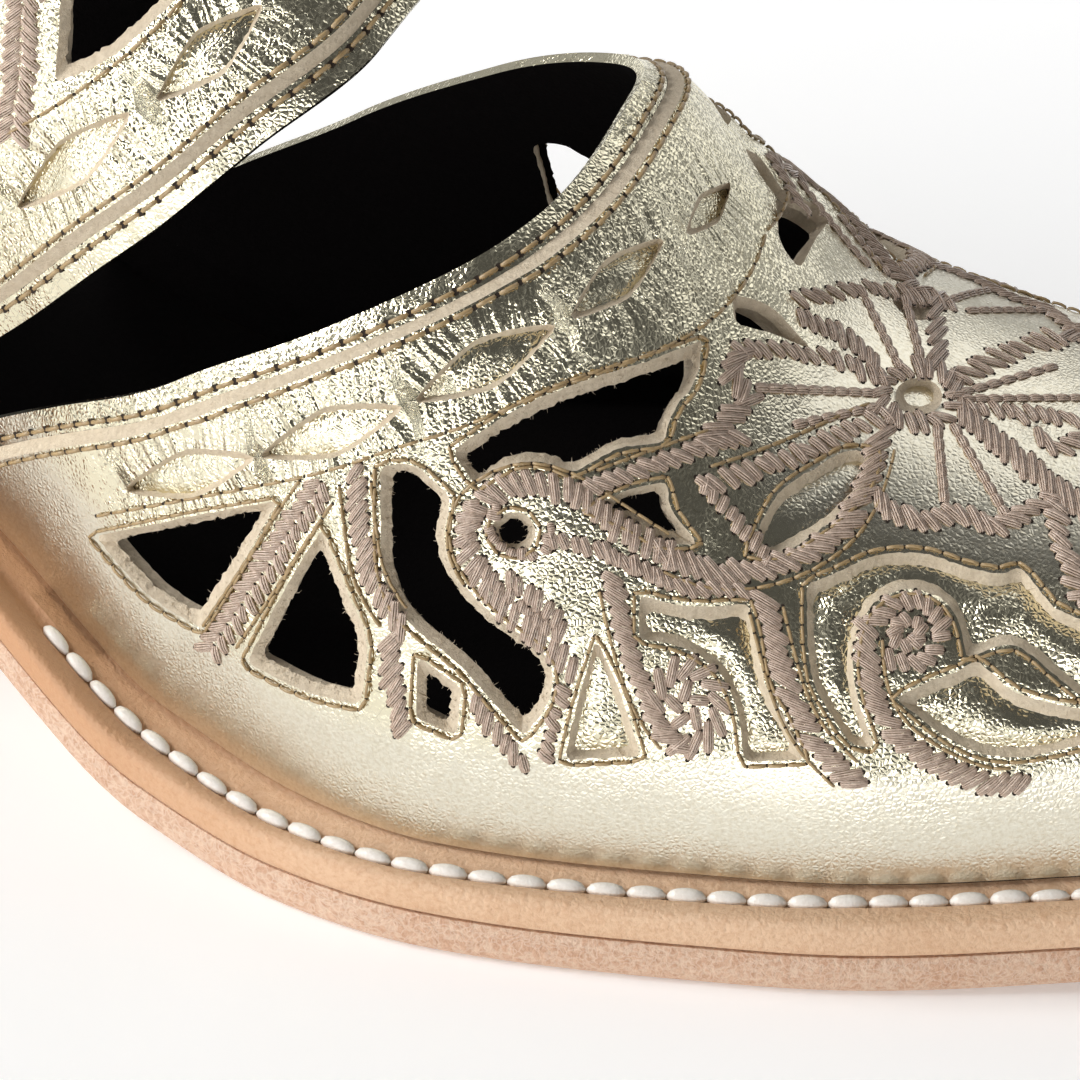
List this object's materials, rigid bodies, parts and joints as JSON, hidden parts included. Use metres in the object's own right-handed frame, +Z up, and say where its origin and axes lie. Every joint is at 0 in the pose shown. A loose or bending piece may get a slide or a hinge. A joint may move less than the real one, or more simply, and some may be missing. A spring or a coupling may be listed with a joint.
{
  "type": "slingback mule",
  "caption": "Right-foot slingback mule in pale gold leather with cut-work windows, instep cuff, welted leather sole and stacked heel",
  "frame": {"origin": "on the floor, at the middle of the shoe's footprint", "axes": "+X from heel to toe, +Y to the wearer's left (the inner side of this right shoe), +Z up"},
  "size_m": [0.2664, 0.0954, 0.1073],
  "materials": {
    "gold_leather": "pale gold foil on crinkled leather",
    "welt_leather": "natural vegetable-tanned leather",
    "sole_leather": "bare fibrous sole leather",
    "heel_leather": "stacked leather lifts",
    "top_rubber": "matt dark rubber",
    "lining": "black suede",
    "thread": "mauve-grey embroidery thread",
    "raw_edge": "undyed cut edge",
    "welt_thread": "waxed white thread"
  },
  "bodies": {
    "root": {"outsole": "sole_leather", "welt": "welt_leather", "insole": "lining", "vamp": "gold_leather", "vamp_underlay": "gold_leather", "cuff": "gold_leather", "cuff_underlay": "gold_leather", "heel_wedge": "heel_leather", "heel_lift_1": "heel_leather", "heel_lift_2": "heel_leather", "heel_lift_3": "heel_leather", "heel_lift_4": "heel_leather", "heel_top_piece": "top_rubber"}
  },
  "joints": []
}
